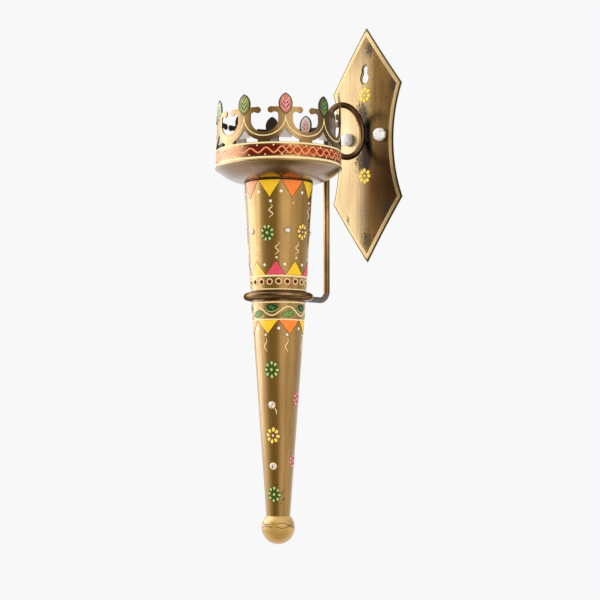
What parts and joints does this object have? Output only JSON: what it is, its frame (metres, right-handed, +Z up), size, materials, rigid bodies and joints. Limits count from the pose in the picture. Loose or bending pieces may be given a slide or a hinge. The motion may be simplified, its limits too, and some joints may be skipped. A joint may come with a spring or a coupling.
{
  "type": "wall candle holder",
  "caption": "Torch-shaped wall candle holder: tapered torch with a pierced crown pan, standing in a ring on a bent rod from a pointed, dished back plate.",
  "frame": {"origin": "centre of the round hole of the back plate's keyhole, at the plate's back face", "axes": "+Z up, +Y into the wall along the keyhole's axis, +X to the right seen from the room"},
  "size_m": [0.1086, 0.1669, 0.46],
  "materials": {
    "plate_gold": "satin antique gold, brushed on by hand, with a pale gold painted edge",
    "tube_gold": "satin antique gold, brushed on by hand",
    "crown_gold": "antique gold outside, dark brown edges and inside",
    "pan_bronze": "glossy bronze lacquer",
    "dark_bronze": "satin dark bronze",
    "braze": "rough dark bronze",
    "plain_steel": "plain zinc-plated steel",
    "stone": "polished white domed stone",
    "paint_yellow": "glossy enamel",
    "paint_orange": "glossy enamel",
    "paint_pink": "glossy enamel",
    "paint_cream": "raised relief paint",
    "paint_green": "glossy enamel",
    "paint_pale_green": "glossy enamel",
    "paint_red": "glossy enamel",
    "paint_gold": "pale gold enamel"
  },
  "bodies": {
    "wall_bracket": {"back_plate": "plate_gold", "plate_stones": "stone", "bracket_rod": "dark_bronze", "loop_weld": "braze", "holder_ring": "dark_bronze", "ring_weld": "braze"},
    "torch": {"upper_cone": "tube_gold", "lower_cone": "tube_gold", "cone_sleeve": "plain_steel", "top_disc": "plain_steel", "tie_bolt": "plain_steel", "ball_finial": "tube_gold", "candle_pan": "pan_bronze", "pan_washer": "plain_steel", "crown_band": "crown_gold", "upper_stones": "stone", "lower_stones": "stone"}
  },
  "joints": [
    {"name": "torch_lift", "type": "slide", "parent": "wall_bracket", "child": "torch", "axis": [0, 0, 1], "range_m": [0, 0.215]}
  ]
}
